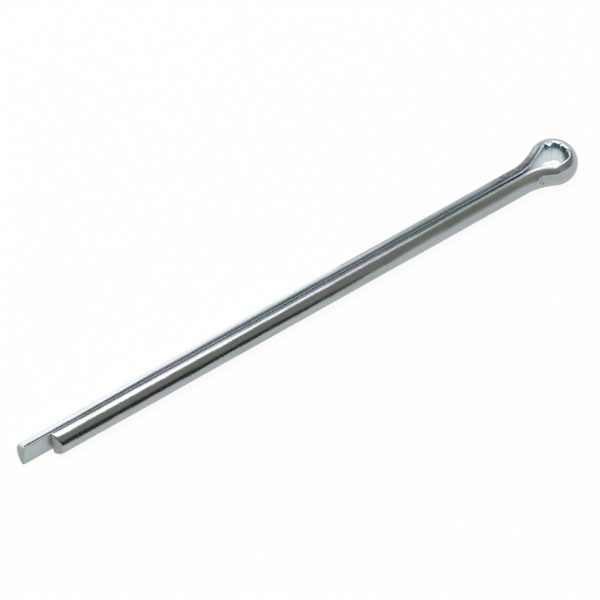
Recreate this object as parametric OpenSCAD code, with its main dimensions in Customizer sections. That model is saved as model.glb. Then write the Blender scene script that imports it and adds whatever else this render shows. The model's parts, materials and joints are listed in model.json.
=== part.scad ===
// Cotter pin, also called a split pin.
// One length of half-round steel wire is folded at its middle round a mandrel into an eye. The flats of
// its two legs then face each other, so that together they make a round shank that slides through a
// drilled hole. One leg is longer, so that a thumb or a pair of pliers can find it and bend it over.
// Millimetres. The pin lies on its side: +X runs along the shank towards the eye, and +Z is the axis
// of the hole in the eye. The origin is under the middle of the pin, on the surface that it lies on.

/* [Shank] */
// Diameter of the shank, over both legs
shank_d = 3.7; // [3:0.1:4.5]
// Slit between the flats of the two legs
slit = 0.3; // [0.1:0.05:0.5]
// Radius on the two long edges of the half-round wire
edge_r = 0.25; // [0.1:0.05:0.35]
// Length of the short leg, from the eye to its sheared end
leg_l = 71; // [16:1:100]
// Length by which the other leg is longer
leg_extra = 4; // [1:0.5:6]

/* [Eye] */
// Length of the eye along the pin
eye_l = 7.7; // [6:0.1:9.5]
// Width over the eye
eye_w = 6.4; // [5.3:0.1:7.8]
// Angle between the pin's axis and the flank of the eye
flank_a = 29; // [24:1:35]

/* [Sheared ends] */
// Radius that shearing and tumbling leave round each end
end_r = 0.3; // [0.1:0.05:0.4]

/* [Hidden] */
$fn = 96;

shank_r = shank_d / 2;
flat_y = slit / 2;
wire_h = shank_r - flat_y;
long_leg_l = leg_l + leg_extra;
pin_l = long_leg_l + eye_l;
// Spare wire past each end, which the shear takes off, and how far a cut reaches past what it cuts
spare_l = 1;
reach = shank_d;

// The centre of each long edge's rounding, which touches both the flat and the round of the wire
edge_y = flat_y + edge_r;
edge_z = sqrt(pow(shank_r - edge_r, 2) - pow(edge_y, 2));
// The pin rests on the rounded edges, because its slit is where the round would touch the ground
rest_z = edge_z + edge_r;

// Each leg runs into the eye through a neck that curves the other way. The two arcs touch at the flank.
eye_r = eye_w / 2 - wire_h;
eye_x = eye_l - eye_w / 2;
neck_r = (eye_r * cos(flank_a) - flat_y) / (1 - cos(flank_a));
neck_x = eye_x - (eye_r + neck_r) * sin(flank_a);

// Moves its children in two steps, whole hundredths and the rest, so that faces meet to the last digit
module place(v) {
    hundredths = [for (c = v) round(c * 100) / 100];
    translate(hundredths) translate(v - hundredths) children();
}

// The sharp corner that the rounding of a long edge replaces, drawn from the rounding's centre
module sharp_corner() {
    polygon([[0, 0], [edge_y, edge_z], [-reach, edge_z], [-reach, 0]]);
}

// The half-round wire across its length, with the pin's axis at the origin and the flat towards it
module wire_section() {
    difference() {
        circle(shank_r);
        translate([flat_y - reach, -reach]) square([reach, 2 * reach]);
        for (side = [0, 1])
            mirror([0, side]) place([edge_y, edge_z]) sharp_corner();
    }
    for (side = [0, 1])
        mirror([0, side]) place([edge_y, edge_z])
            intersection() {
                sharp_corner();
                circle(edge_r);
            }
}

// What a leg loses at its end, seen along one edge of it. X runs in from the wire's surface, and Y runs
// from the end along the leg.
module end_waste() {
    difference() {
        translate([-reach, -reach]) square([reach + shank_r, reach + end_r]);
        translate([end_r, 0]) square([shank_r, reach]);
        translate([end_r, end_r]) circle(end_r);
    }
}

// One straight leg, from the neck back to its sheared end, with the end's round and flat edges rounded
module leg(l) {
    difference() {
        place([neck_x, 0, 0])
            rotate([90, 0, -90])
                linear_extrude(l + neck_x + spare_l) mirror([1, 0]) wire_section();
        translate([-l, 0, 0])
            rotate([0, 90, 0])
                rotate_extrude() translate([shank_r, 0]) mirror([1, 0]) end_waste();
        translate([-l, flat_y, -reach])
            linear_extrude(2 * reach) mirror([1, -1]) end_waste();
    }
}

// The neck of one leg, where it turns away from the pin's axis
module neck() {
    place([neck_x, flat_y + neck_r, 0])
        rotate_extrude(start = -90, angle = flank_a)
            place([neck_r + flat_y, 0]) mirror([1, 0]) wire_section();
}

// The eye, with the flat of the wire on its inside
module eye() {
    place([eye_x, 0, 0])
        rotate_extrude(start = -90 - flank_a, angle = 180 + 2 * flank_a)
            place([eye_r - flat_y, 0]) wire_section();
}

module cotter_pin() {
    color("silver")
        translate([pin_l / 2 - eye_l, 0, rest_z]) {
            leg(long_leg_l);
            neck();
            mirror([0, 1, 0]) {
                leg(leg_l);
                neck();
            }
            eye();
        }
}

cotter_pin();
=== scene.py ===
# %% [markdown]
# # A split pin of zinc-plated half-round wire
#
# A split pin, or cotter pin, is one length of soft steel wire with a half-round section. It is
# folded round a mandrel, so that its two flats meet and make a round shank, and the fold is the
# eye. It was drawn, bent, sheared, tumbled and plated, and each of those left a mark. This lesson
# makes the wire in the order of the factory: its section, its path, its sheared ends, its wrinkled
# bend, and last its bright zinc.

import json
from math import atan2, cos, degrees, pi, radians, sin, sqrt

import bpy
import numpy as np
from mathutils import Matrix, Vector


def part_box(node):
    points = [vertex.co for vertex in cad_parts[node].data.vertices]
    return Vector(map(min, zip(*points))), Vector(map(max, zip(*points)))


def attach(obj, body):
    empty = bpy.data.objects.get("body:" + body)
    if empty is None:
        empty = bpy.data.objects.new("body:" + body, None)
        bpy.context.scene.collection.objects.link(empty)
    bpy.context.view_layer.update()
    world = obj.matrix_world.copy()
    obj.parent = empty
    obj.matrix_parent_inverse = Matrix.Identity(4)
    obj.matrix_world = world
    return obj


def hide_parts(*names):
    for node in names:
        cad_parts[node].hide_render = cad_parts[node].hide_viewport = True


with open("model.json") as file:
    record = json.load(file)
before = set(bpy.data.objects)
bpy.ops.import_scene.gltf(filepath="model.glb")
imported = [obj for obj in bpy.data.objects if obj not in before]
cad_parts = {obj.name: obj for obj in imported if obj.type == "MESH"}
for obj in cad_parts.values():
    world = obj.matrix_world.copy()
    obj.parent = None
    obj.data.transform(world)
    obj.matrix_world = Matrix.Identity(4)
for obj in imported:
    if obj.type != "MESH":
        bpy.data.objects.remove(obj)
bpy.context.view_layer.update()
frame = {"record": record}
MM = 0.001

# %% [markdown]
# ## The sizes of the wire
#
# The CAD pin says how large everything is. Its box gives the length over all, the width of the eye
# and the height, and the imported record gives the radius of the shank. The few sizes that a box
# can't show are the CAD's own, repeated here in millimetres: the slit between the legs, the
# rounding of the wire's long edges, how much longer one leg is, and the angle of the eye's flank.

# %% Sizes in millimetres
low, high = (np.array(corner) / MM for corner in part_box("cotter_pin"))
mounts = {mount["name"]: mount for mount in frame["record"]["mounts"]}
SHANK_R = mounts["shank"]["dims"]["r_mm"]
EYE_W = high[1] - low[1]
TIP_X = high[0]
LONG_END_X = low[0]
SLIT = 0.3
EDGE_R = 0.25
LEG_EXTRA = 4.0
FLANK = radians(29)

FLAT_Y = SLIT / 2
WIRE_H = SHANK_R - FLAT_Y
EDGE_UP = sqrt((SHANK_R - EDGE_R) ** 2 - (FLAT_Y + EDGE_R) ** 2)
REST_Z = EDGE_UP + EDGE_R
EYE_R = EYE_W / 2 - WIRE_H
EYE_X = TIP_X - EYE_W / 2
NECK_R = (EYE_R * cos(FLANK) - FLAT_Y) / (1 - cos(FLANK))
NECK_X = EYE_X - (EYE_R + NECK_R) * sin(FLANK)
SHORT_END_X = LONG_END_X + LEG_EXTRA
print(f"wire {WIRE_H:.2f} thick, eye hole {2 * EYE_R:.2f}, neck radius {NECK_R:.2f}")

# %% [markdown]
# ## The section: half-round wire
#
# Half-round wire is drawn through a die that leaves one flat, one round back, and two long edges.
# An extruded curve with a bevel profile could sweep it, but then the sheared ends would need a
# second tool. So the outline is worked out as points, and one function draws it at any inset and
# with any rounding of its edges. An inset outline is what a rounded end needs, because the end is
# the same shape again and again, each a little smaller. The flat can also bulge towards the other
# leg, or slant, so that one of its edges stands out further than the other.

# %% The outline of the wire
FLAT_POINTS, EDGE_POINTS, BACK_POINTS = 34, 6, 44
SHARPEST = 0.02


def outline(inset, edge_r, flat_out=0.0, slant=0.0):
    """Points round the wire, as distance out from the flat and height, with all faces moved in."""
    edge = max(edge_r - inset, SHARPEST)
    corners = []
    for side in (1, -1):
        out = inset + edge - flat_out - side * slant
        up = sqrt((SHANK_R - inset - edge) ** 2 - (FLAT_Y + out) ** 2)
        corners.append((out, up, atan2(up, FLAT_Y + out)))
    (top_out, top_up, top_lean), (low_out, low_up, low_lean) = corners
    flat = [
        (inset - flat_out - slant * share, (top_up + low_up) / 2 * share + (top_up - low_up) / 2)
        for share in np.sin(np.linspace(-pi / 2, pi / 2, FLAT_POINTS))
    ]
    turns = np.linspace(pi, top_lean, EDGE_POINTS + 1)[1:]
    upper = [(top_out + edge * cos(a), top_up + edge * sin(a)) for a in turns]
    swing = np.linspace(top_lean, -low_lean, BACK_POINTS + 1)[1:]
    back = [((SHANK_R - inset) * cos(a) - FLAT_Y, (SHANK_R - inset) * sin(a)) for a in swing]
    turns = np.linspace(low_lean, pi, EDGE_POINTS + 1)[1:-1]
    lower = [(low_out + edge * cos(a), -low_up - edge * sin(a)) for a in turns]
    return np.array(flat + upper + back + lower)


print(len(outline(0, EDGE_R)), "points round the wire")

# %% [markdown]
# ## How the section changes along the pin
#
# Where the legs lie against each other, their edges are crisp and their flats bulge into the slit
# until they nearly meet, so that the slit is a fine line. The bend has pulled the edges round in
# the eye, and tumbling has rounded them at the free end of the long leg. The bulge is a short
# table of sizes along the leg, because it only has to follow how far the two legs stand apart.

# %% The outline of a leg and of the eye
CRISP_EDGE_R, EYE_EDGE_R, FREE_EDGE_R = 0.02, 0.18, 0.12
# Where the long leg's edges go from round to crisp, just past the end of the short leg
FREE_FROM, FREE_TO = -37.6, -36.6
# How far each flat bulges and how far the short leg's slants, in mm, at some shares of the way down
BULGE_AT = [0, 0.08, 0.17, 0.29, 0.43, 0.57, 0.7, 0.87, 1]
SHORT_BULGE = [0, 0.01, 0.08, 0.125, 0.16, 0.185, 0.2, 0.2, 0.16]
SHORT_SLANT = [0, 0.13, 0.135, 0.13, 0.115, 0.085, 0.045, 0, 0]
LONG_BULGE = [0.19, 0.18, 0.135, 0.115, 0.1, 0.09, 0.074, 0.011, 0.07]


def leg_outline(x, on_long_leg, inset=0.0):
    """The outline of a leg at a place along the pin."""
    down_leg = (NECK_X - x) / (NECK_X - LONG_END_X)
    if on_long_leg:
        edge_r = np.interp(x, [FREE_FROM, FREE_TO], [FREE_EDGE_R, CRISP_EDGE_R])
        return outline(inset, edge_r, np.interp(down_leg, BULGE_AT, LONG_BULGE))
    bulge, slant = (np.interp(down_leg, BULGE_AT, sizes) for sizes in (SHORT_BULGE, SHORT_SLANT))
    return outline(inset, CRISP_EDGE_R, bulge, slant)


EYE_SECTION = outline(0, EYE_EDGE_R)
print(f"the eye's section is {2 * EYE_SECTION[:, 1].max():.3f} mm high")

# %% [markdown]
# ## The path: two legs, two necks and an eye
#
# The wire is straight along the short leg, turns gently out at the neck, goes round the eye the
# other way, and comes back to the long leg. The path is drawn along the flat, because the flat is
# what lay on the mandrel. At each step it keeps the place and the direction that the round back
# faces. Steps are close where the wire bends or is sheared, and wider where it is straight.

# %% The path of the flat
LEG_STEP, END_STEP, END_ZONE = 0.45, 0.08, 1.2
NECK_STEPS, EYE_STEPS = 80, 220
# How far from its end a leg begins to round off
RIM_R = 0.4


def leg_places(end_x):
    """Places along a straight leg, from its end to the neck, as x, y and the way the back faces."""
    close = np.arange(end_x, end_x + END_ZONE, END_STEP)
    steps = round((NECK_X - close[-1]) / LEG_STEP)
    return [(x, FLAT_Y, pi / 2) for x in [*close[:-1], *np.linspace(close[-1], NECK_X, steps + 1)]]


def mirrored(places):
    """The same places on the other side of the pin, walked the other way."""
    return [(x, -y, -turn) for x, y, turn in reversed(places)]


neck = [
    (NECK_X + NECK_R * sin(a), FLAT_Y + NECK_R * (1 - cos(a)), pi / 2 + a)
    for a in np.linspace(0, FLANK, NECK_STEPS + 1)[1:]
]
half_turn = pi / 2 + FLANK
eye = [
    (EYE_X + EYE_R * cos(a), EYE_R * sin(a), a)
    for a in np.linspace(half_turn, -half_turn, EYE_STEPS + 1)[1:-1]
]
long_half = leg_places(LONG_END_X + RIM_R) + neck
short_half = leg_places(SHORT_END_X + RIM_R) + neck
path = np.array(long_half + eye + mirrored(short_half))
print(len(path), "places along the wire")

# %% [markdown]
# ## The sheared ends
#
# A shear cuts the wire from one side, and tumbling with other pins then rounds the cut. What is
# left is a low dome with a soft rim. Each ring of the end is an inset outline that has moved a
# little further along the wire: nearly a quarter turn of insets makes the rim, and outlines shrunk
# towards the middle make the dome. Both are then squeezed along the wire, so that it ends where
# the CAD does.

# %% The rings of one end
RIM_TURN = radians(80)
RIM_RINGS, DOME_RINGS = 7, 7
DOME, INNERMOST = 0.14, 0.06


def end_rings(end_x, on_long_leg):
    """Outlines from the leg to the middle of its end, each with its distance past the leg."""
    rings = []
    for a in np.linspace(0, RIM_TURN, RIM_RINGS + 1)[1:]:
        rings.append((leg_outline(end_x, on_long_leg, RIM_R * (1 - cos(a))), RIM_R * sin(a)))
    rim, reach = rings[-1]
    middle = rim.mean(0)
    for shrink in np.linspace(1, INNERMOST, DOME_RINGS + 1)[1:]:
        rings.append((middle + (rim - middle) * shrink, reach + DOME * (1 - shrink**2)))
    top = rings[-1][1]
    return [(ring, reach * RIM_R / top) for ring, reach in rings]


LONG_END = end_rings(LONG_END_X + RIM_R, True)
SHORT_END = end_rings(SHORT_END_X + RIM_R, False)
print(len(LONG_END), "rings close each end, out to", f"{LONG_END[-1][1]:.3f} mm")

# %% [markdown]
# ## What the shear does to the wire
#
# The blade drags the round back along before it cuts. On the short leg the back is rolled down and
# ends more than half a millimetre before the flat does. On the long leg the cut leans the other
# way, and its foot is a third of a millimetre longer than its top. Both fade out within a
# millimetre or two of the end.

# %% Rolled and leaning ends
ROLL_DEPTH, ROLL_LENGTH = 0.12, 0.9
BACK_SLANTS, FOOT_LEANS, CUT_ZONE = radians(19), radians(5.5), 1.8


def sheared(ring, from_end, on_long_leg):
    """Shape a ring by its distance from the end, and give each of its points a shift along x."""
    ring = ring.copy()
    fade = max(0, 1 - from_end / CUT_ZONE)
    if on_long_leg:
        return ring, ring[:, 1] * sin(FOOT_LEANS) * fade
    dip = ROLL_DEPTH * max(0, 1 - from_end / ROLL_LENGTH) ** 2
    ring[:, 0] *= 1 - dip / WIRE_H
    return ring, ring[:, 0] * sin(BACK_SLANTS) * fade


print(f"the short leg's back ends {WIRE_H * sin(BACK_SLANTS):.2f} mm before its flat")

# %% [markdown]
# ## What the bend does to the wire
#
# Bending half-round wire flat side in squeezes the metal on the inside of the eye. The flat swells
# into a low barrel, and it wrinkles across the wire, in grooves a third to half a millimetre apart
# that are deepest at the upper rim. The tool that opened the eye flared that rim at the tip. A
# bump map could hint at these, but the rim's wavy edge is seen against the light, so the points
# themselves move.

# %% Barrel, wrinkles and flare
# How far the flat swells, over what half height, the turn in which it begins, and how deep it goes
BARREL, BARREL_HALF, BARREL_STARTS, BARREL_DEPTH = 0.2, 1.78, radians(35), 0.4
# Where each wrinkle is round the eye, in degrees from the pin's axis, and how deep it is in mm
WRINKLES = [
    (110, 0.06), (92, 0.22), (78, -0.32), (67, -0.32), (50, 0.16),
    (40, 0.12), (27, 0.2), (15, -0.06), (5, 0.16),
]
# How wide each is, in degrees, and how deep into the wire it goes, in mm
WRINKLE_WIDTH, WRINKLE_DEPTH = 6.0, 0.3
# From what height the wrinkles deepen, over how much height, and what share of them is lower down
DEEPER_FROM, DEEPER_OVER, LOWER_SHARE = 0.9, 0.8, 0.3
# How far the rim is flared, in mm, at each of a few directions round the eye, and from what height
FLARE_AT = [-119, -95, -72, -54, -42, -25, -11, 4, 18]
FLARE = [0, 0.18, 0.25, 0.5, 0.68, 0.66, 0.55, 0.12, 0]
FLARE_FROM, FLARE_CURVE = 0.3, 1.5


def ease(share):
    """A smooth step from 0 to 1."""
    share = np.clip(share, 0, 1)
    return share * share * (3 - 2 * share)


def squeezed(ring, turn, share):
    """Swell and wrinkle the inside of the eye, by the share of the bend that has been reached."""
    ring = ring.copy()
    swell = BARREL * (1 - np.clip(np.abs(ring[:, 1]) / BARREL_HALF, 0, 1) ** 3)
    swell = swell * ease((half_turn - abs(turn)) / BARREL_STARTS)
    inside = np.exp(-((ring[:, 0] / BARREL_DEPTH) ** 2)) * share
    deeper = ease((ring[:, 1] - DEEPER_FROM) / DEEPER_OVER)
    rim = np.exp(-ring[:, 0] / WRINKLE_DEPTH) * (LOWER_SHARE + (1 - LOWER_SHARE) * deeper) * share
    ring[:, 0] -= swell * inside
    for at, depth in WRINKLES:
        off = (np.degrees(turn) - at) / WRINKLE_WIDTH
        ring[:, 0] += depth * np.exp(-off * off) * rim
    flare = np.interp(np.degrees(turn), FLARE_AT, FLARE)
    height = np.clip((ring[:, 1] - FLARE_FROM) / (SHANK_R - FLARE_FROM), 0, 1)
    ring[:, 0] += flare * height**FLARE_CURVE * (1 - ring[:, 0] / WIRE_H)
    return ring


print(len(WRINKLES), "wrinkles, and a rim flared by up to", max(FLARE), "mm")

# %% [markdown]
# ## The mark of the jaw
#
# A jaw held the short leg's neck while the eye was bent. It left a flat spot on the round back of
# the wire, and its corner bit a nick at the start of the flat spot. The flat spot is made as a
# file would make it: every point that stands out past a plane is pushed back onto it.

# %% Flat spot and nick
JAW_X, JAW_FLAT, JAW_FACES = 35.1, 0.16, radians(20)
# How sharply the jaw's edge bites, how long its grip is, and over what length it fades
JAW_EDGE, JAW_LONG, JAW_FADES = 0.15, 3.2, 2.2
NICK_X, NICK_Z, NICK_DEPTH = 35.1, 0.35, 0.3
NICK_LONG, NICK_HIGH, NICK_STARTS = 0.26, 0.6, 0.6


def gripped(ring, x):
    """Flatten the back of the wire where the jaw held it, and nick it at the jaw's edge."""
    ring = ring.copy()
    held = ease((x - JAW_X) / JAW_EDGE) * (1 - ease((x - JAW_X - JAW_LONG) / JAW_FADES))
    facing = np.array([cos(JAW_FACES), sin(JAW_FACES)])
    over = (ring + [FLAT_Y, 0]) @ facing - (SHANK_R - JAW_FLAT * held)
    ring -= np.maximum(over, 0)[:, None] * facing
    off = ((x - NICK_X) / NICK_LONG) ** 2 + ((ring[:, 1] - NICK_Z) / NICK_HIGH) ** 2
    ring[:, 0] -= NICK_DEPTH * np.exp(-off) * ease(ring[:, 0] / NICK_STARTS)
    return ring


def bent(x, y, turn):
    """The outline of the wire at a place on its path."""
    share = ease((x - NECK_X) / (EYE_X - EYE_R - NECK_X))
    leg_section = leg_outline(min(x, NECK_X), y > 0)
    ring = squeezed(leg_section + (EYE_SECTION - leg_section) * share, turn, share)
    return gripped(ring, x + WIRE_H * cos(turn)) if y < 0 else ring


print(f"the jaw's flat spot is {JAW_FLAT} mm deep and its nick {NICK_DEPTH} mm")

# %% [markdown]
# ## What the die leaves
#
# Drawn wire is never quite even. Its back swells and thins by a hundredth of a millimetre, in long
# waves that come from the die and the rolls. That is far too little to see as a shape, but a
# polished shank shows it, because the long bands that it mirrors waver with it.

# %% The wire's own waves
# Each wave: depth in mm, waves round the wire, length along the wire in mm, and where it starts
WAVES = [(0.005, 3, 23, 0.4), (0.004, 4, 13, 2.1), (0.003, 6, 7.3, 4.0), (0.002, 9, 4.1, 1.2)]
# How far out from the flat they reach their full height
WAVES_START = 0.5


def uneven(ring, along):
    """Swell and thin the back of a ring by the wire's own waves."""
    ring = ring.copy()
    around = np.arctan2(ring[:, 1], ring[:, 0] + FLAT_Y)
    wave = sum(d * np.sin(n * around + 2 * pi * along / l + start) for d, n, l, start in WAVES)
    back = ease(ring[:, 0] / WAVES_START) * (wave - abs(wave).max() / 2)
    ring[:, 0] += back * np.cos(around)
    ring[:, 1] += back * np.sin(around)
    return ring


print(f"the waves add up to {sum(wave[0] for wave in WAVES):.3f} mm at most")

# %% [markdown]
# ## What handling leaves
#
# A real pin is never as true as its drawing. The bend pulls the eye a little to one side and lets
# its top lean, the long leg springs out towards its end, and the short leg lies closer and twists
# on its way there. These are moves of a tenth or two of a millimetre, so the size of the pin stays
# what it is. They are made ring by ring, after the shape of each ring is done.

# %% Sprung legs and a leaning eye
LONG_LEG_OPENS, SHORT_LEG_SHIFTS, SHORT_LEG_CLOSER = 0.22, 0.06, 0.08
SHORT_LEG_TWISTS = radians(13.5)
EYE_SHIFTS, EYE_LEANS = 0.16, radians(2.5)


def settle(points, x, on_long_leg):
    """Move one ring's points to where bending left them, given the ring's place along the pin."""
    points = points.copy()
    y, z = points[:, 1].copy(), points[:, 2] - REST_Z
    down_leg = np.clip((NECK_X - x) / (NECK_X - LONG_END_X), 0, 1)
    to_eye = ease((x - NECK_X) / (EYE_X - NECK_X))
    if on_long_leg:
        points[:, 1] += LONG_LEG_OPENS * down_leg
    else:
        twist = SHORT_LEG_TWISTS * down_leg**3
        points[:, 1] = y * cos(twist) + z * sin(twist) + SHORT_LEG_SHIFTS * down_leg**2
        points[:, 2] = REST_Z + z * cos(twist) - y * sin(twist)
        points[:, 1] += SHORT_LEG_CLOSER * (1 - to_eye)
    points[:, 1] += to_eye * (EYE_SHIFTS + z * sin(EYE_LEANS))
    return points


print(f"the long leg opens by {LONG_LEG_OPENS} mm")
print(f"the eye leans {degrees(EYE_LEANS):.1f} degrees")

# %% [markdown]
# ## One skin over the whole wire
#
# The rings are joined into one closed skin of four-sided faces. Each vertex also keeps where it was
# in the straight wire, before the bend: along it, out from the flat, and up. A finish that is laid
# out in the straight wire's own space then follows the bend as the drawn lines of the real wire do.

# %% Ring upon ring
rings, straight = [], []
middle_line = path[:, :2] + WIRE_H / 2 * np.stack([np.cos(path[:, 2]), np.sin(path[:, 2])], 1)
lengths = np.r_[0, np.cumsum(np.hypot(*np.diff(middle_line, axis=0).T))]
wire_l = lengths[-1]


def add_ring(place, ring, along, shift=0.0):
    """Set an outline across the path at a place, moved by shift along the pin."""
    x, y, turn = place
    on_long_leg = along < wire_l / 2
    from_end = (along if on_long_leg else wire_l - along) + RIM_R
    ring, slide = sheared(uneven(ring, along), from_end, on_long_leg)
    across = x + shift + slide + ring[:, 0] * cos(turn)
    points = np.stack([across, y + ring[:, 0] * sin(turn), REST_Z + ring[:, 1]], 1)
    rings.append(settle(points, x, on_long_leg))
    straight.append(np.stack([np.full(len(ring), along), ring[:, 0], ring[:, 1]], 1))


for ring, reach in reversed(LONG_END):
    add_ring(path[0], ring, -reach, -reach)
for place, along in zip(path, lengths):
    add_ring(place, bent(*place), along)
for ring, reach in SHORT_END:
    add_ring(path[-1], ring, wire_l + reach, -reach)
rings, straight = np.array(rings), np.array(straight)
print(f"the wire is {wire_l + 2 * RIM_R:.1f} mm long, with {rings.shape[0]} rings")

# %% Faces between the rings
# Each face is wound so that it faces out, which is what other renderers go by.
count, around = rings.shape[:2]
faces = []
for first in range(0, (count - 1) * around, around):
    for here in range(around):
        after = (here + 1) % around
        ahead = first + around
        faces.append((first + here, ahead + here, ahead + after, first + after))
faces.append(tuple(range(around)))
faces.append(tuple(range(count * around - 1, (count - 1) * around - 1, -1)))
mesh = bpy.data.meshes.new("split_pin")
mesh.from_pydata([tuple(p * MM) for p in rings.reshape(-1, 3)], [], faces)
mesh.validate()
mesh.shade_smooth()
kept = mesh.attributes.new("straight_wire", "FLOAT_VECTOR", "POINT")
kept.data.foreach_set("vector", straight.reshape(-1).astype(np.float32))
pin = bpy.data.objects.new("split_pin", mesh)
bpy.context.scene.collection.objects.link(pin)
print(len(mesh.vertices), "vertices and", len(mesh.polygons), "faces")

# %% [markdown]
# ## A node helper and colours
#
# Materials are graphs of nodes. One small function adds a node, sets its options and fills its
# sockets, each with a plain value or a link from another node. Colours are written as sRGB hex, as
# a colour card gives them, and one function turns them into the linear light that Blender mixes.
# The Mix node keeps sockets for every kind of value: two numbers go in at 2 and 3 and come out at
# 0, and two colours go in at 6 and 7 and come out at 2.

# %% Helpers for materials


def linear(card):
    """An sRGB hex colour as linear red, green, blue and alpha."""
    parts = [int(card[i : i + 2], 16) / 255 for i in (1, 3, 5)]
    return (*[p / 12.92 if p <= 0.04045 else ((p + 0.055) / 1.055) ** 2.4 for p in parts], 1)


def add(tree, kind, sockets=None, **options):
    """Add a node, set its options, then fill its sockets with values or links."""
    node = tree.nodes.new(kind)
    for name, value in options.items():
        setattr(node, name, value)
    for name, value in (sockets or {}).items():
        if isinstance(value, bpy.types.NodeSocket):
            tree.links.new(value, node.inputs[name])
        else:
            node.inputs[name].default_value = value
    return node


print("mid grey #808080 is", round(linear("#808080")[0], 3), "in linear light")

# %% [markdown]
# ## Bright zinc on drawn wire
#
# Steel wire is cold drawn, then plated with zinc and dipped in a clear blue passivation. That
# makes a bright, slightly cold metal that isn't quite a mirror. The film's thickness wanders, so
# faint olive, violet and teal come and go along the wire. Under the zinc are the fine lines of the
# drawing die, which run along the wire, and the small ripple that the plating bath and the
# tumbling barrel leave. Each is noise in the straight wire's own space, so its sizes are sizes on
# the pin.

# %% Drawn lines, ripple and film
zinc = bpy.data.materials.new("bright_zinc_on_drawn_wire")
zinc.use_nodes = True
tree = zinc.node_tree
tree.nodes.clear()
place = add(tree, "ShaderNodeAttribute", attribute_name="straight_wire")
# Each pattern is written as repeats a millimetre along, out and up. Drawn lines are 0.02 mm apart
# and millimetres long, and are made 0.12 mm wide so that they show. The ripple is 0.3 to 0.5 mm
# across, and the film's tints are about 1 mm wide and 6 mm long.
patterns = {}
for name, per_mm, detail in [
    ("drawn", (0.25, 8, 8), {"Detail": 2.0}),
    ("ripple", (2.2, 3.4, 3.4), {"Detail": 3.0, "Roughness": 0.6}),
    ("film", (0.16, 0.9, 0.9), {"Detail": 3.0}),
]:
    scaled = add(
        tree, "ShaderNodeVectorMath", {0: place.outputs["Vector"], 1: per_mm}, operation="MULTIPLY"
    )
    noise = {"Vector": scaled.outputs[0], "Scale": 1.0, **detail}
    patterns[name] = add(tree, "ShaderNodeTexNoise", noise).outputs[0]
print("patterns on the zinc:", ", ".join(patterns))

# %% [markdown]
# ## Colour, gloss and relief
#
# The film's noise picks a tint from a ramp. Its four tints are close together, because a clear
# passivation only shades the metal. The ripple makes some places a little duller than others. It
# also lifts the surface, by five thousandths of a millimetre, and the drawn lines by half of that.
# These are far too small for the mesh, so they are bump.

# %% Tint, gloss and bump
tint = add(tree, "ShaderNodeValToRGB", {0: patterns["film"]})
tints = [(0.32, "#9CA59A"), (0.45, "#A4AEB0"), (0.55, "#A9AFB3"), (0.68, "#ABAAB6")]
stops = tint.color_ramp.elements
while len(stops) < len(tints):
    stops.new(0.5)
for stop, (at, shade) in zip(stops, tints):
    stop.position, stop.color = at, linear(shade)
rough = add(
    tree,
    "ShaderNodeMapRange",
    {"Value": patterns["ripple"], "From Min": 0.3, "From Max": 0.7, "To Min": 0.17, "To Max": 0.26},
)
LINE_DEPTH, RIPPLE_DEPTH = 0.0025, 0.005
lines = add(
    tree,
    "ShaderNodeBump",
    {"Strength": 1.0, "Distance": LINE_DEPTH * MM, "Height": patterns["drawn"]},
)
skin = add(
    tree,
    "ShaderNodeBump",
    {
        "Strength": 1.0,
        "Distance": RIPPLE_DEPTH * MM,
        "Height": patterns["ripple"],
        "Normal": lines.outputs[0],
    },
)
print("the zinc's tints:", ", ".join(shade for _, shade in tints))

# %% [markdown]
# ## Where the zinc differs
#
# Tumbling never reached the flats, so they stay matt, and their colour is painted lighter: painted
# light that lifts the shade in the slit between the legs. The flat inside the eye is painted paler
# still, painted light that lifts the shade inside the eye's hole, and high up on that wall it is
# painted a soft teal, a painted reflection. The back of the long leg's neck is painted dark and
# mottled, a painted dark reflection. The straight wire's own space says where each of these is:
# how far along, how far out from the flat, and how high. Each becomes a share from 0 to 1, with
# soft edges a few tenths of a millimetre to a few millimetres wide.

# %% Flats and the eye
EYE_FROM, EYE_TO = 5.0, 3.0
where = add(tree, "ShaderNodeSeparateXYZ", {0: place.outputs["Vector"]})
on_flat = add(
    tree,
    "ShaderNodeMapRange",
    {"Value": where.outputs[1], "From Min": 0.02, "From Max": 0.12, "To Min": 1.0, "To Max": 0.0},
)
from_middle = add(
    tree, "ShaderNodeMath", {0: where.outputs[0], 1: wire_l / 2}, operation="SUBTRACT"
)
beside = add(tree, "ShaderNodeMath", {0: from_middle.outputs[0]}, operation="ABSOLUTE")
in_eye = add(
    tree,
    "ShaderNodeMapRange",
    {
        "Value": beside.outputs[0],
        "From Min": EYE_TO,
        "From Max": EYE_FROM,
        "To Min": 1.0,
        "To Max": 0.0,
    },
)
# The flat inside the eye is painted paler: painted light that lifts the shade inside the eye's hole
painted_pale = add(
    tree, "ShaderNodeMath", {0: in_eye.outputs[0], 1: on_flat.outputs[0]}, operation="MULTIPLY"
)
high_up = add(
    tree, "ShaderNodeMapRange", {"Value": where.outputs[2], "From Min": 0.7, "From Max": 1.4}
)
# High up on the eye's wall it is painted teal: a painted reflection
painted_teal_reflection = add(
    tree, "ShaderNodeMath", {0: painted_pale.outputs[0], 1: high_up.outputs[0]}, operation="MULTIPLY"
)
print("the eye's worn wall fades out from", EYE_TO, "to", EYE_FROM, "mm from the wire's middle")
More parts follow.
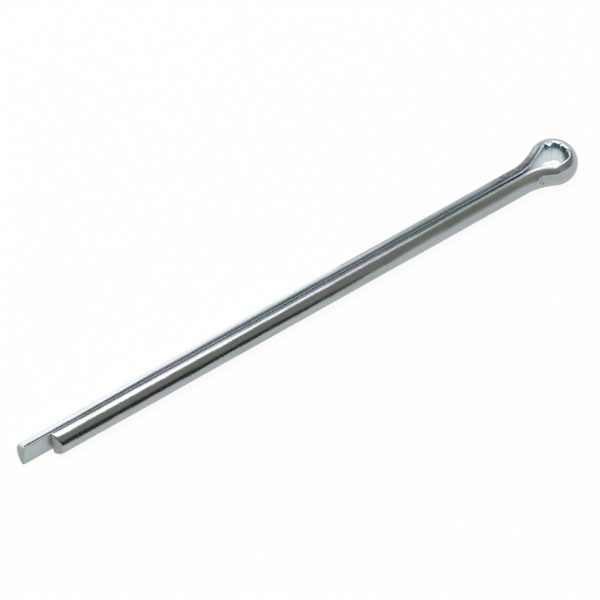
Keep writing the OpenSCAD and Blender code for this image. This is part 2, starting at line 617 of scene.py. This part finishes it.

# %% The painted dark reflection on the neck
# Places on the long leg's half of the wire come before its middle, so they are negative here.
# The back of the long leg's neck is painted dark and mottled: a painted dark reflection
NECK_FROM, NECK_SHADE_FULL, NECK_FADES, NECK_TO = -12.0, -9.5, -5.0, -3.2
MOTTLES_PER_MM, PALEST_MOTTLE = 1.8, 0.45
into_neck = add(
    tree,
    "ShaderNodeMapRange",
    {"Value": from_middle.outputs[0], "From Min": NECK_FROM, "From Max": NECK_SHADE_FULL},
)
out_of_neck = add(
    tree,
    "ShaderNodeMapRange",
    {
        "Value": from_middle.outputs[0],
        "From Min": NECK_FADES,
        "From Max": NECK_TO,
        "To Min": 1.0,
        "To Max": 0.0,
    },
)
mottle = add(
    tree,
    "ShaderNodeTexNoise",
    {"Vector": place.outputs["Vector"], "Scale": MOTTLES_PER_MM, "Detail": 2.0},
)
mottled = add(
    tree,
    "ShaderNodeMapRange",
    {
        "Value": mottle.outputs[0],
        "From Min": 0.4,
        "From Max": 0.62,
        "To Min": 1.0,
        "To Max": PALEST_MOTTLE,
    },
)
off_flat = add(tree, "ShaderNodeMath", {0: 1.0, 1: on_flat.outputs[0]}, operation="SUBTRACT")
painted_dark_neck = into_neck
for share in (out_of_neck, mottled, off_flat):
    painted_dark_neck = add(
        tree, "ShaderNodeMath", {0: painted_dark_neck.outputs[0], 1: share.outputs[0]}, operation="MULTIPLY"
    )
print("the dark neck is", NECK_TO - NECK_FROM, "mm long, with", MOTTLES_PER_MM, "mottles a mm")

# %% [markdown]
# ## Torn ends
#
# A shear tears the wire more than it cuts it. The zinc on the torn steel is thinner, rougher and
# greyer. The straight wire's length runs from the end of the long leg to the end of the short leg,
# so the torn places are those before its start and those past its end, from the rounded rim on.

# %% The sheared faces
TORN_FROM, TORN_TO = 0.05, 0.24
past_long = add(
    tree,
    "ShaderNodeMapRange",
    {
        "Value": where.outputs[0],
        "From Min": -TORN_TO,
        "From Max": -TORN_FROM,
        "To Min": 1.0,
        "To Max": 0.0,
    },
)
past_short = add(
    tree,
    "ShaderNodeMapRange",
    {
        "Value": where.outputs[0],
        "From Min": wire_l + TORN_FROM,
        "From Max": wire_l + TORN_TO,
    },
)
torn = add(
    tree,
    "ShaderNodeMath",
    {0: past_long.outputs[0], 1: past_short.outputs[0]},
    operation="MAXIMUM",
)
print(f"the torn zinc starts {TORN_FROM} mm past the straight wire, and is full at {TORN_TO} mm")

# %% [markdown]
# ## The finished zinc
#
# Now each share lays its colour over what came before, from the film's tints to the torn ends, and
# the dullness of the flats and the torn ends likewise. A metal's colour tints what it mirrors, so
# the light and the dark bands both take it. Zinc is a metal all over, and keeps the default IOR.

# %% Colour and gloss of the zinc
# How much of the flats' lighter colour is laid on: painted light that lifts the shade in the slit
# between the legs
FLATS_LIGHT_SHARE, FLAT_DULL, TORN_DULL = 0.8, 0.36, 0.4
painted_light_on_flats = add(
    tree, "ShaderNodeMath", {0: on_flat.outputs[0], 1: FLATS_LIGHT_SHARE}, operation="MULTIPLY"
)
colour = tint.outputs[0]
for share, shade in [
    # The flats: painted light that lifts the shade in the slit between the legs
    (painted_light_on_flats, "#B4C0C3"),
    # The flat inside the eye: painted light that lifts the shade inside the eye's hole
    (painted_pale, "#DDE6E8"),
    # The long leg's neck: a painted dark reflection, mottled
    (painted_dark_neck, "#626F76"),
    # High on the eye's wall: a painted teal reflection
    (painted_teal_reflection, "#8FB0B8"),
    (torn, "#9BA19E"),
]:
    layer = {0: share.outputs[0], 6: colour, 7: linear(shade)}
    colour = add(tree, "ShaderNodeMix", layer, data_type="RGBA").outputs[2]
gloss = rough.outputs[0]
for share, dull in [(on_flat, FLAT_DULL), (torn, TORN_DULL)]:
    gloss = add(tree, "ShaderNodeMix", {0: share.outputs[0], 2: gloss, 3: dull}).outputs[0]
surface = add(
    tree,
    "ShaderNodeBsdfPrincipled",
    {"Base Color": colour, "Metallic": 1.0, "Roughness": gloss, "Normal": skin.outputs[0]},
)
add(tree, "ShaderNodeOutputMaterial", {"Surface": surface.outputs[0]})
mesh.materials.append(zinc)
print(zinc.name, "has", len(tree.nodes), "nodes")

# %% [markdown]
# ## Where the viewer stands
#
# A long lens far away keeps the two ends of a thin pin nearly the same size, so that the shank
# looks straight and its sides parallel. It looks down from the side of the short leg, because from
# there the slit, both sheared ends and the hole of the eye all show.

# %% The camera
# What it aims at, how far it looks down and is turned, and how far away it stands
AIM = Vector((-0.046, 0.475, 2.04)) * MM
ELEVATION, TURN, DISTANCE = radians(56.93), radians(33.745), 1.0658
LENS_MM = 511.7
forward = Vector((sin(TURN) * cos(ELEVATION), cos(TURN) * cos(ELEVATION), -sin(ELEVATION)))
right = Vector((cos(TURN), -sin(TURN), 0))
up = right.cross(forward)
lens = bpy.data.cameras.new("camera")
lens.lens = LENS_MM
camera = bpy.data.objects.new("camera", lens)
# The columns are where the camera's right, top and back point, and then where it stands
rows = [(r, u, -f, aim - f * DISTANCE) for r, u, f, aim in zip(right, up, forward, AIM)]
camera.matrix_world = Matrix([*rows, (0, 0, 0, 1)])
bpy.context.scene.collection.objects.link(camera)
bpy.context.scene.camera = camera
print(f"the camera looks down by {degrees(ELEVATION):.1f} degrees from {DISTANCE:.2f} m away")

# %% [markdown]
# ## White paper
#
# The pin lies on white paper, which is matt and takes a soft shadow. The camera sees most of it as
# plain white, and only a little of it as lit paper, so that the page stays white and the shadow
# still shows. The zinc mirrors a part of both. The light path node tells the paper which kind of
# ray has reached it.

# %% A flat sheet
FLOOR = 3000


def flat_piece(name, corners):
    """A flat sheet of the stage, from its corners in millimetres."""
    sheet = bpy.data.meshes.new(name)
    points = [tuple(c * MM for c in corner) for corner in corners]
    sheet.from_pydata(points, [], [tuple(range(len(points)))])
    piece = bpy.data.objects.new(name, sheet)
    bpy.context.scene.collection.objects.link(piece)
    return piece


floor = flat_piece(
    "floor", [(-FLOOR, -FLOOR, 0), (FLOOR, -FLOOR, 0), (FLOOR, FLOOR, 0), (-FLOOR, FLOOR, 0)]
)
print("the paper is", 2 * FLOOR * MM, "m wide")

# %% The paper's two looks
# How much of the paper is plain white to the camera, and how much to what mirrors it
CAMERA_SHARE, MIRROR_SHARE = 0.93, 0.6
paper = bpy.data.materials.new("white_paper")
paper.use_nodes = True
tree = paper.node_tree
tree.nodes.clear()
lit = add(tree, "ShaderNodeBsdfDiffuse", {"Color": linear("#F4F4F4")})
plain = add(tree, "ShaderNodeEmission", {"Color": (1, 1, 1, 1), "Strength": 1.0})
rays = add(tree, "ShaderNodeLightPath")
mirrored_ray = add(
    tree,
    "ShaderNodeMath",
    {0: rays.outputs["Is Glossy Ray"], 1: rays.outputs["Is Transmission Ray"]},
    operation="MAXIMUM",
)
in_mirror = add(
    tree, "ShaderNodeMath", {0: mirrored_ray.outputs[0], 1: MIRROR_SHARE}, operation="MULTIPLY"
)
seen = add(
    tree,
    "ShaderNodeMath",
    {0: rays.outputs["Is Camera Ray"], 1: CAMERA_SHARE, 2: in_mirror.outputs[0]},
    operation="MULTIPLY_ADD",
)
both = add(
    tree, "ShaderNodeMixShader", {0: seen.outputs[0], 1: lit.outputs[0], 2: plain.outputs[0]}
)
add(tree, "ShaderNodeOutputMaterial", {"Surface": both.outputs[0]})
floor.data.materials.append(paper)
print(paper.name, "has", len(tree.nodes), "nodes")

# %% [markdown]
# ## Cards for the zinc to mirror
#
# Bright zinc shows hardly any colour of its own. What the eye reads as a shiny round wire is long
# bands, and each band is one thing in the room, squeezed by the round of the wire. So plain cards
# stand round the pin. Only mirrored rays meet them. They light nothing and cast no shadow.

# %% How a card is made


def card(name, shade, corners):
    """A plain card that only the metal sees, by its own shade of light."""
    piece = flat_piece(name, corners)
    coat = bpy.data.materials.new(name)
    coat.use_nodes = True
    coat.node_tree.nodes.clear()
    glow = add(coat.node_tree, "ShaderNodeEmission", {"Color": (*shade, 1), "Strength": 1.0})
    add(coat.node_tree, "ShaderNodeOutputMaterial", {"Surface": glow.outputs[0]})
    piece.data.materials.append(coat)
    piece.visible_camera = piece.visible_diffuse = piece.visible_shadow = False


def level(z, corners):
    """Corners of a card that lies level at a height, from their x and y."""
    return [(x, y, z) for x, y in corners]


def upright(y, corners):
    """Corners of a card that stands along the pin, from their x and z."""
    return [(x, y, z) for x, z in corners]


def grey(light):
    """A shade of light with no colour."""
    return (light, light, light)


print("a corner of a level card 150 mm up:", level(150, [(0, 0)])[0])

# %% [markdown]
# ## Overhead
#
# The white card overhead makes the bright line along the top of the legs. It fades out towards the
# back in two steps, and sooner towards the eye, so that the line gets narrower there. Past the eye
# it turns grey.

# %% The cards overhead
HIGH = 150
ABOVE = (3.0, 2.8, 2.95)
card(
    "overhead",
    ABOVE,
    level(
        HIGH,
        [(-200, -39), (52, -39), (54, 2), (40, 12), (32, 25), (28, 49), (21, 88), (-200, 90)],
    ),
)
card(
    "overhead_back",
    grey(1.25),
    level(
        HIGH,
        [
            (54, 2), (40, 12), (32, 25), (28, 49), (21, 88), (-200, 90),
            (-200, 104), (25, 98), (33, 60), (40, 33), (60, 12),
        ],
    ),
)
card(
    "overhead_far",
    (0.17, 0.27, 0.28),
    level(HIGH, [(60, 12), (40, 33), (33, 60), (25, 98), (130, 98), (130, 20)]),
)
card(
    "overhead_gap",
    grey(0.95),
    level(HIGH, [(54, -35), (130, -35), (130, 20), (60, 12), (54, 2)]),
)
print("the cards overhead are", HIGH, "mm above the paper")

# %% [markdown]
# ## In front and to the left
#
# The viewer's side is dark low down and on the paper, which makes the dark line along the short
# leg's side. Towards the eye the dark turns grey. The sheared faces look at the card on the left.

# %% The cards in front and on the left
NEAR_Y, LEFT_X, ON_FLOOR = -80, -220, 0.2
card(
    "dark",
    (0.03, 0.027, 0.025),
    upright(NEAR_Y, [(-260, 0), (34, 0), (34, 22), (-20, 42), (-260, 55)]),
)
card(
    "dark_on_floor",
    (0.01, 0.01, 0.01),
    level(ON_FLOOR, [(-260, NEAR_Y), (34, NEAR_Y), (12, -16), (-260, -16)]),
)
card("front_middle", grey(0.38), upright(NEAR_Y, [(34, 0), (44, 0), (44, 22), (34, 19)]))
card("front_right", grey(0.6), upright(NEAR_Y, [(44, 0), (260, 0), (260, 28), (44, 22)]))
card(
    "dark_left",
    (0.12, 0.17, 0.18),
    [(LEFT_X, NEAR_Y, 5), (LEFT_X, 40, 5), (LEFT_X, 40, 110), (LEFT_X, NEAR_Y, 110)],
)
print("the cards in front are", -NEAR_Y, "mm away")

# %% [markdown]
# ## Behind
#
# The long leg's back mirrors what stands behind the pin. White low down makes its bright side, and
# a plum card above the white gives the violet line along the slit near the sheared ends. Towards
# the eye the white breaks up into greys. A light card on the paper is there for the long leg's
# lower side.

# %% The cards behind
FAR_Y = 100
BEHIND = (2.6, 2.45, 2.6)
card(
    "back_left",
    BEHIND,
    upright(FAR_Y, [(-300, 0), (12, 0), (12, 28), (7, 34), (-5, 56), (-300, 61)]),
)
card(
    "plum",
    (0.22, 0.1, 0.27),
    upright(FAR_Y, [(-300, 61), (-5, 56), (2, 43), (5, 61), (19, 110), (-300, 130)]),
)
card(
    "back_middle",
    grey(1.65),
    upright(FAR_Y, [(12, 0), (48, 0), (48, 35), (38, 36), (27, 29), (12, 28)]),
)
card(
    "back_gap", grey(0.75), upright(FAR_Y, [(48, 0), (71, 0), (71, 44), (58, 40), (48, 35)])
)
card(
    "back_right",
    grey(1.9),
    upright(FAR_Y, [(71, 12), (300, 12), (300, 80), (120, 70), (84, 44), (71, 44)]),
)
card(
    "light_on_floor",
    grey(1.8),
    level(ON_FLOOR, [(-300, 5), (8, 5), (30, FAR_Y), (-300, FAR_Y)]),
)
print("the cards behind are", FAR_Y, "mm away")

# %% [markdown]
# ## Close to the eye
#
# The eye is so tightly bent that it mirrors nearly the whole room at once. Small cards close to it
# give its rim a bright top and a lilac flank, and its near side a warm olive.

# %% The cards by the eye
BY_THE_EYE, OVER_THE_EYE, BEFORE_THE_EYE = 14, 12, -12
card(
    "by_the_eye",
    (0.95, 0.85, 1.05),
    upright(BY_THE_EYE, [(39, 6), (46, 6), (46, 24), (39, 24)]),
)
card(
    "past_the_eye",
    (2.6, 2.4, 2.62),
    upright(BY_THE_EYE, [(46, 6), (56, 6), (56, 24), (46, 24)]),
)
card(
    "over_the_eye",
    ABOVE,
    level(OVER_THE_EYE, [(36.8, -1.9), (46, -1.9), (48, 9), (41.2, 9), (40.6, 4.8), (36.8, 4.6)]),
)
card(
    "before_the_eye",
    (0.52, 0.5, 0.38),
    upright(BEFORE_THE_EYE, [(37.5, 6), (43, 6), (43, 26), (37.5, 26)]),
)
print("the eye's cards are", OVER_THE_EYE, "mm over it and", BY_THE_EYE, "mm behind it")

# %% [markdown]
# ## A plain room and one softbox
#
# The room is grey, olive in front and cooler behind, and darker towards the ceiling at the back,
# which gives the bands their soft sides. One large softbox over the paper makes the soft shadow.
# The zinc doesn't mirror it, because the cards already stand for it.

# %% The room
world = bpy.data.worlds.new("studio")
bpy.context.scene.world = world
world.use_nodes = True
tree = world.node_tree
tree.nodes.clear()
directions = add(tree, "ShaderNodeTexCoord")
axes = add(tree, "ShaderNodeSeparateXYZ", {0: directions.outputs["Generated"]})
behind = add(
    tree,
    "ShaderNodeMapRange",
    {"Value": axes.outputs["Y"], "From Min": -0.2, "From Max": 0.4},
    interpolation_type="SMOOTHSTEP",
)
height = add(
    tree,
    "ShaderNodeMapRange",
    {"Value": axes.outputs["Z"], "From Min": 0.25, "From Max": 0.8},
    interpolation_type="SMOOTHSTEP",
)
FRONT, BACK_LOW, BACK_HIGH = (0.335, 0.325, 0.27, 1), (0.46, 0.5, 0.51, 1), (0.04, 0.09, 0.1, 1)
back = add(
    tree, "ShaderNodeMix", {0: height.outputs[0], 6: BACK_LOW, 7: BACK_HIGH}, data_type="RGBA"
)
around = add(
    tree, "ShaderNodeMix", {0: behind.outputs[0], 6: FRONT, 7: back.outputs[2]}, data_type="RGBA"
)
room = add(tree, "ShaderNodeBackground", {"Color": around.outputs[2], "Strength": 1.0})
add(tree, "ShaderNodeOutputWorld", {"Surface": room.outputs[0]})
print("the room has", len(tree.nodes), "nodes")

# %% The softbox
softbox = bpy.data.lights.new("softbox", "AREA")
softbox.shape = "RECTANGLE"
softbox.size, softbox.size_y = 0.6, 0.6
softbox.energy = 5.5
lamp = bpy.data.objects.new("softbox", softbox)
lamp.location = (0, 0.1, 0.8)
lamp.visible_glossy = False
bpy.context.scene.collection.objects.link(lamp)
print("the softbox gives", softbox.energy, "W from", round(lamp.location.z, 2), "m above the paper")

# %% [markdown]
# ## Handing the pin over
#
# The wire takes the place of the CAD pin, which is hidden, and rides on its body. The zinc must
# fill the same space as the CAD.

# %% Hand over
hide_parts("cotter_pin")
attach(pin, "root")
bpy.context.scene.view_settings.view_transform = "Standard"
